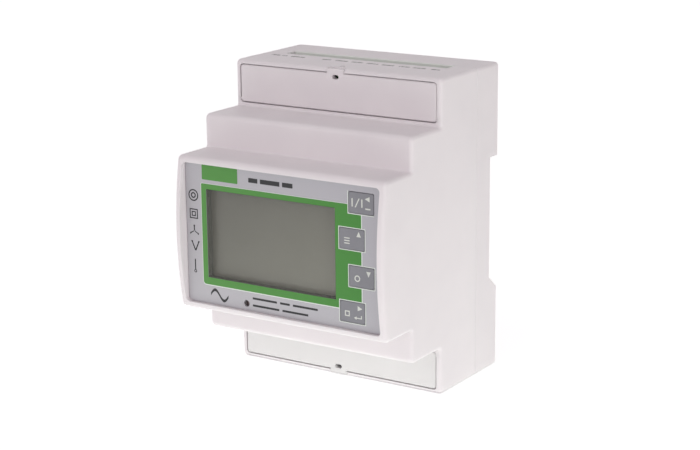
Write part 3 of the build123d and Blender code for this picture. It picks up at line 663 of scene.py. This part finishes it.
green_ink = ink("green_ink", 72, 140, 58)
# Painted shade: the green field darkens from left to right
painted_shade_to_right = green_ink.place()[0] * (1 / 55) + 0.5
green_ink.shine(Base_Color=green_ink.mix(painted_shade_to_right, colour(82, 143, 66), colour(62, 131, 48)))
pale_ink = ink("pale_ink", 226, 232, 226)
left, right, low, high = field
outline = (left - 0.16, right + pale_line, low - pale_line, high + 0.12)
outline_print = printed_field("label_outline_print", outline, 1.1, 0.5, label_front)
upper_layer = label_front - print_layer / 1000
green_print = printed_field("label_green_print", field, 0.9, 0.4, upper_layer)
key_lines = [key_line(key) for key in key_names]
patch = (-27.9, -15.1, 16.45, 20.95)
patch_print = flat_sheet("label_patch_print", *patch)
open_in_edit(patch_print)
round_corners(patch_print, corners_of(patch), 0.25)
thicken(patch_print, 2 * print_layer)
lay_on_front(patch_print, label_front)
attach(patch_print, "meter_body")
pale_ink.put_on(outline_print, *key_lines)
green_ink.put_on(green_print, patch_print)


# Painted highlight under the label
# A thin pale strip fills the gap along the label's lower edge: a painted highlight over the
# gap's shade.
painted_highlight_inset = 3.2
left, right = label_low.x * 1000 + painted_highlight_inset, label_high.x * 1000 - painted_highlight_inset
low, high = label_low.z * 1000 - 0.17, label_low.z * 1000 - 0.01
painted_highlight_strip = flat_sheet("label_painted_highlight_strip", left, right, low, high)
open_in_edit(painted_highlight_strip)
round_corners(painted_highlight_strip, [(left, low), (right, low)], 0.12, 2)
thicken(painted_highlight_strip, 0.3)
lay_on_front(painted_highlight_strip, label_high.y)
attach(painted_highlight_strip, "meter_body")
# Painted highlight on the label's lower edge
tinted_plastic("painted_highlight_finish", 206, 202, 204, 0.3).put_on(painted_highlight_strip)


# Dark marks on the label
# Small printed signs down the left margin, a wave and two rows of short bars below the
# window, and one row of bars above it. Black ink on the silver film.
def ribbon(name, points, upright=False):
    """A flat line drawn by pulling an edge from point to point: x, y and its width there."""
    made = flat_sheet(name, -0.5, 0.5, -0.5, 0.5)
    open_in_edit(made)
    pick(made, "verts", lambda at: (at.x if upright else at.y) > 0)
    bpy.ops.mesh.delete(type="VERT")
    bpy.ops.mesh.select_mode(type="EDGE")
    bpy.ops.mesh.select_all(action="SELECT")
    start_x, start_y, width = points[0]
    start = (start_x + 0.5, start_y, 0) if upright else (start_x, start_y + 0.5, 0)
    bpy.ops.transform.translate(value=start)
    bpy.ops.transform.resize(value=(width, width, 1), center_override=(start_x, start_y, 0))
    for x, y, next_width in points[1:]:
        step = (x - start_x, y - start_y, 0)
        bpy.ops.mesh.extrude_edges_move(TRANSFORM_OT_translate={"value": step})
        ratio = next_width / width
        bpy.ops.transform.resize(value=(ratio, ratio, 1), center_override=(x, y, 0))
        start_x, start_y, width = x, y, next_width
    bpy.ops.mesh.select_all(action="SELECT")
    bpy.ops.mesh.remove_doubles(threshold=0.001)
    bpy.ops.mesh.normals_make_consistent(inside=False)
    bpy.ops.object.mode_set(mode="OBJECT")
    return made


def ring(name, x, y, radius, width, corners=28, turn=0.0):
    """A flat ring, or a frame where it has four corners."""
    bpy.ops.object.select_all(action="DESELECT")
    bpy.ops.mesh.primitive_circle_add(vertices=corners, radius=radius, fill_type="NOTHING")
    made = bpy.context.object
    made.name = name
    made.rotation_euler = (0, 0, turn)
    made.location = (x, y, 0)
    bpy.ops.object.transform_apply(location=True, rotation=True, scale=True)
    open_in_edit(made)
    bpy.ops.mesh.select_mode(type="EDGE")
    bpy.ops.mesh.select_all(action="SELECT")
    bpy.ops.mesh.extrude_edges_move()
    ratio = (radius - width) / radius
    bpy.ops.transform.resize(value=(ratio, ratio, 1), center_override=(x, y, 0))
    bpy.ops.mesh.select_all(action="SELECT")
    bpy.ops.mesh.normals_make_consistent(inside=False)
    bpy.ops.object.mode_set(mode="OBJECT")
    return made


def bar(name, edges, corner=0.08):
    """A short printed bar with eased corners, from its left, right, lower and upper edge."""
    made = flat_sheet(name, *edges)
    open_in_edit(made)
    round_corners(made, corners_of(edges), corner, 2)
    bpy.ops.object.mode_set(mode="OBJECT")
    return made


def joined(name, pieces):
    """Flat drawings made into one object."""
    bpy.ops.object.select_all(action="DESELECT")
    for piece in pieces:
        piece.select_set(True)
    bpy.context.view_layer.objects.active = pieces[0]
    if len(pieces) > 1:
        bpy.ops.object.join()
    made = bpy.context.object
    made.name = name
    return made


def face_up(thing):
    """Turns every face of a flat drawing upward."""
    open_in_edit(thing)
    mesh = bmesh.from_edit_mesh(thing.data)
    for face in mesh.faces:
        face.normal_update()
        if face.normal.z < 0:
            face.normal_flip()
    bmesh.update_edit_mesh(thing.data)


def printed(name, pieces, y, body, finish):
    """Joins flat drawings, gives them an ink layer's thickness and lays them on a face."""
    made = joined(name, pieces)
    face_up(made)
    thicken(made, print_layer)
    lay_on_front(made, y)
    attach(made, body)
    finish.put_on(made)
    return made


icon_x = -31.25
stroke = 0.4
dot = 0.55
dot_end = 0.3
root_two = math.sqrt(2)
square_turn = math.pi / 4
square_x = icon_x - 0.05
signs = [
    ring("sign_ring", icon_x, 11.3, 1.8, 0.38),
    ring("sign_ring_inner", icon_x, 11.3, 0.9, 0.4),
    ring("sign_square", square_x, 5.7, 1.5 * root_two, 0.34 * root_two, 4, square_turn),
    ring("sign_square_inner", square_x, 5.7, 0.75 * root_two, 0.32 * root_two, 4, square_turn),
    ribbon(
        "sign_star",
        [
            (icon_x, 2.35, dot_end),
            (icon_x, 2.2, dot),
            (icon_x, 1.9, dot),
            (icon_x, 1.75, stroke),
            (icon_x, 0.55, stroke),
        ],
    ),
]
for side in (-1, 1):
    signs.append(
        ribbon(
            "sign_star_arm",
            [
                (icon_x + side * 0.16, 0.42, dot_end),
                (icon_x + side * 1.1, -0.12, dot_end),
                (icon_x + side * 1.2, -0.2, dot),
                (icon_x + side * 1.5, -0.36, dot),
                (icon_x + side * 1.62, -0.42, dot_end),
            ],
            upright=True,
        )
    )
vee_x = icon_x + 0.25
vee = [(-1.3, -2.5, dot_end), (-1.25, -2.62, dot), (-1.18, -2.9, dot), (-1.1, -3.05, stroke)]
vee_points = [(vee_x + x, y, width) for x, y, width in vee]
vee_points += [(vee_x, -5.5, stroke * 1.2)]
vee_points += [(vee_x - x, y, width) for x, y, width in reversed(vee)]
signs.append(ribbon("sign_vee", vee_points))
signs.append(ribbon("sign_line", [(icon_x, -8.1, stroke), (icon_x, -11.3, stroke)]))
signs.append(ring("sign_line_end", icon_x, -11.8, 0.52, 0.26, 16))

# The wave, drawn as one full turn of a sine
wave_x, wave_y = -22.6, -18.1
wave_length, wave_rise, wave_width = 6.4, 1.5, 0.9
wave_steps = 16
wave = []
for n in range(wave_steps + 1):
    turn = n / wave_steps * 2 * math.pi
    x = wave_x - wave_length / 2 + wave_length * n / wave_steps
    wave.append((x, wave_y + wave_rise * math.sin(turn), wave_width))
signs.append(ribbon("sign_wave", wave, upright=True))


def bar_row(left, middle, height, lengths, gap):
    """A row of bars from left to right, with even gaps between them."""
    made = []
    for length in lengths:
        edges = (left, left + length, middle - height / 2, middle + height / 2)
        made.append(bar("short_bar", edges))
        left += length + gap
    return made


small_row_left, small_bar, small_gap = -10.6, 0.62, 1.1
signs += bar_row(small_row_left, -17.15, small_bar, (8.6, 3.4, 8.6), small_gap)
signs += bar_row(small_row_left, -19.3, small_bar, (9.4, 9.0), small_gap)
signs += bar_row(-11.2, 18.1, 1.35, (3.2, 6.8, 3.6), 0.9)
black_ink = ink("black_ink", 32, 32, 35)
printed("label_dark_print", signs, label_front, "meter_body", black_ink)


# Display window
# A clear moulded block that fills the label's opening. A thin dark sleeve of painted shade
# lines its edges, and hides the parts beside the display.
clear = Finish(bpy.data.materials.new("clear_window"))
haze = clear.noise(9.0, 2.0)
clear.shine(
    Base_Color=colour(210, 212, 206),
    Roughness=0.08 + 0.05 * haze,
    Alpha=0.05 + 0.03 * haze,
)
clear.put_on(parts["display_window"])
sleeve_gap = 0.02
sleeve_wall = 0.06
sleeve_setback = 0.00005
sleeve_front = window_low.y + sleeve_setback
sleeve_rear = window_high.y - sleeve_setback
# Painted shade: a thin dark sleeve in the window's opening
sleeve = flat_sheet("window_edge_painted_shade", *grown(window_edges, -sleeve_gap))
open_in_edit(sleeve)
cut_out(sleeve, *grown(window_edges, -sleeve_gap - sleeve_wall))
thicken(sleeve, (sleeve_rear - sleeve_front) * 1000)
lay_on_front(sleeve, sleeve_rear)
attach(sleeve, "meter_body")
# The sleeve's dark colour is painted shade
ink("painted_shade_black", 66, 65, 57, 0.7).put_on(sleeve)


# Display
# Two plies of glass with a polariser: a plain grey-olive face, with painted shade that darkens
# it towards its upper left. It sits in a white frame, over a milky light panel and between two
# rubber contact strips.
polariser = Finish(bpy.data.materials.new("display_polariser"))
display_x, _, display_z = polariser.place()
# Painted shade: darker towards the upper left
painted_shade_fall = (display_z * 0.02 + 0.5 - display_x * 0.012).held()
film = polariser.noise(0.5, 2.0)
face = polariser.mix(painted_shade_fall, colour(131, 130, 119), colour(102, 101, 93))
face = polariser.mix(film * 0.12, face, colour(96, 95, 86))
polariser.shine(
    Base_Color=face,
    Roughness=0.3 + 0.1 * film,
    Normal=polariser.relief(film, 0.003, 0.3),
)
polariser.put_on(parts["display_glass"])
tinted_plastic("frame_plastic", 232, 232, 228, 0.55).put_on(parts["display_frame"])
tinted_plastic("light_panel_milk", 226, 230, 232, 0.25).put_on(parts["light_panel"])
tinted_plastic("contact_rubber", 50, 50, 52, 0.75).put_on(parts["contact_strips"])


# Keys
# Grey satin caps in two staggered columns, standing a little proud of the label. Each is
# printed with a pale arrow and a plain sign. Their plungers are black nylon.
key_plastic = tinted_plastic("key_plastic", 132, 132, 138, 0.5, 0.25, 5)
plunger_plastic = tinted_plastic("plunger_nylon", 58, 58, 62, 0.45)
legend_ink = ink("legend_ink", 214, 216, 210)


def triangle(x, y, turn):
    """A small filled arrow head that points upward before it is turned."""
    bpy.ops.object.select_all(action="DESELECT")
    bpy.ops.mesh.primitive_circle_add(vertices=3, radius=0.95, fill_type="NGON")
    made = bpy.context.object
    made.scale = (0.9, 1.1, 1)
    bpy.ops.object.transform_apply(location=True, rotation=True, scale=True)
    made.rotation_euler = (0, 0, turn)
    made.location = (x, y, 0)
    bpy.ops.object.transform_apply(location=True, rotation=True, scale=True)
    return made


def escape_legend(x, y):
    """Two upright bars with a slanted one between them, over a short flat one."""
    return [
        ribbon("legend", [(x - 1.9, y - 1.3, 0.36), (x - 0.6, y + 1.3, 0.36)]),
        bar("legend", (x - 3.1, x - 2.7, y - 1.2, y + 1.2)),
        bar("legend", (x + 0.1, x + 0.5, y - 1.2, y + 1.2)),
        bar("legend", (x + 1.4, x + 3.1, y - 1.6, y - 1.2)),
    ]


def up_legend(x, y):
    """Three short lines, one above the other."""
    rows = [y - 0.55 + step * 0.75 for step in (-1, 0, 1)]
    return [bar("legend", (x - 2.5, x - 0.7, row - 0.16, row + 0.16)) for row in rows]


def down_legend(x, y):
    """A small ring."""
    return [ring("legend", x - 1.4, y - 0.5, 0.95, 0.34, 20)]


def enter_legend(x, y):
    """A small square, and a return arrow with its tail turned up."""
    tail = y - 1.45
    arrow = [
        (x + 0.55, tail, 0.04),
        (x + 1.35, tail, 1.0),
        (x + 1.36, tail, 0.3),
        (x + 2.85, tail, 0.3),
    ]
    return [
        ring("legend", x - 1.7, y - 0.5, 1.15, 0.45, 4, square_turn),
        ribbon("legend", arrow, upright=True),
        bar("legend", (x + 2.86, x + 3.16, tail - 0.15, tail + 0.85), 0.05),
    ]


arrow_turns = {"escape": math.pi / 2, "up": 0.0, "down": math.pi, "enter": -math.pi / 2}
plain_signs = {
    "escape": escape_legend,
    "up": up_legend,
    "down": down_legend,
    "enter": enter_legend,
}
for key in key_names:
    left, right, low, high = key_edges(key)
    x, y = (left + right) / 2, (low + high) / 2
    legends = [triangle(x + 2.3, y + 1.4, arrow_turns[key]), *plain_signs[key](x, y)]
    key_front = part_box(key + "_key")[0].y
    body = key + "_key"
    printed(key + "_key_print", legends, key_front, body, legend_ink)
    key_plastic.put_on(parts[key + "_key"])
    plunger_plastic.put_on(parts[key + "_key_plunger"])


# Pulse lamp
# A round lamp of clear resin behind its small hole in the label, dull pink while unlit.
resin = Finish(bpy.data.materials.new("lamp_resin"))
resin.shine(
    Base_Color=resin.mix(resin.noise(0.9, 2.0), colour(150, 132, 132), colour(176, 156, 154)),
    Roughness=0.22 + 0.1 * resin.noise(0.7),
    Coat_Weight=0.5,
)
resin.put_on(parts["pulse_lamp"])


# Circuit boards
# Glass-fibre boards under green lacquer, with copper tracks that show as lighter lines.
lacquer = Finish(bpy.data.materials.new("board_lacquer"))
board_place = {
    0: lacquer.node("TexCoord").outputs["Object"],
    "Rotation": (math.pi / 2, 0, 0),
    "Scale": (1000, 1000, 1000),
}
track_grid = {
    "Vector": lacquer.node("Mapping", None, board_place).outputs[0],
    "Scale": 0.4,
    "Mortar Size": 0.03,
    "Color1": (0, 0, 0, 1),
    "Color2": (0, 0, 0, 1),
    "Mortar": (1, 1, 1, 1),
}
grid_lines = lacquer.amount(lacquer.node("TexBrick", None, track_grid))
tracks = grid_lines * (lacquer.noise(7.0, 1.0) > 0.48)
lacquer.shine(
    Base_Color=lacquer.mix(tracks, colour(38, 110, 72), colour(86, 160, 98)),
    Roughness=0.32 + 0.12 * lacquer.noise(2.0),
    Normal=lacquer.relief(tracks, 0.03, 0.8),
)
lacquer.put_on(parts["display_board"], parts["metering_board"], parts["main_board"])


# Parts on the boards
# Switch bodies, the processor, headers and capacitors are black mouldings, the spacers and
# isolators white nylon. The transformers are potted in blue, and their links bare copper.
black_moulding = tinted_plastic("black_moulding", 58, 58, 61, 0.5)
black_moulding.put_on(
    parts["key_switches"],
    parts["processor_chip"],
    parts["display_header"],
    parts["main_header"],
    parts["filter_capacitors"],
)
white_nylon = tinted_plastic("spacer_nylon", 226, 226, 220, 0.4)
white_nylon.put_on(parts["board_spacers"], parts["isolators"])
blue_potting = tinted_plastic("potting_case", 72, 100, 158, 0.45)
blue_potting.put_on(parts["current_transformers"], parts["surge_discs"])
rolled_metal("bare_copper", 214, 150, 116, 0.3).put_on(parts["primary_links"])
laminations = Finish(bpy.data.materials.new("core_laminations"))
_, layer_y, _ = laminations.place()
sheets = layer_y.worked("FRACT", layer_y * 2.0)
laminations.shine(
    Base_Color=laminations.mix(sheets, colour(104, 104, 108), colour(150, 150, 154)),
    Metallic=0.7,
    Roughness=0.45 + 0.15 * laminations.noise(1.0),
    Normal=laminations.relief(sheets, 0.05, 0.6),
)
laminations.put_on(parts["supply_transformer"])


# Terminal blocks and wire cages
# Green glass-filled polyamide blocks, each pole with a tinned brass cage.
block_plastic = tinted_plastic("block_polyamide", 92, 160, 106, 0.5, 0.3, 9)
cage_metal = rolled_metal("tinned_brass", 212, 206, 178, 0.34, (1, 12, 1))
for side in ("upper", "lower"):
    block_plastic.put_on(parts[side + "_terminal_block"])
    cage_metal.put_on(parts[side + "_wire_cages"])
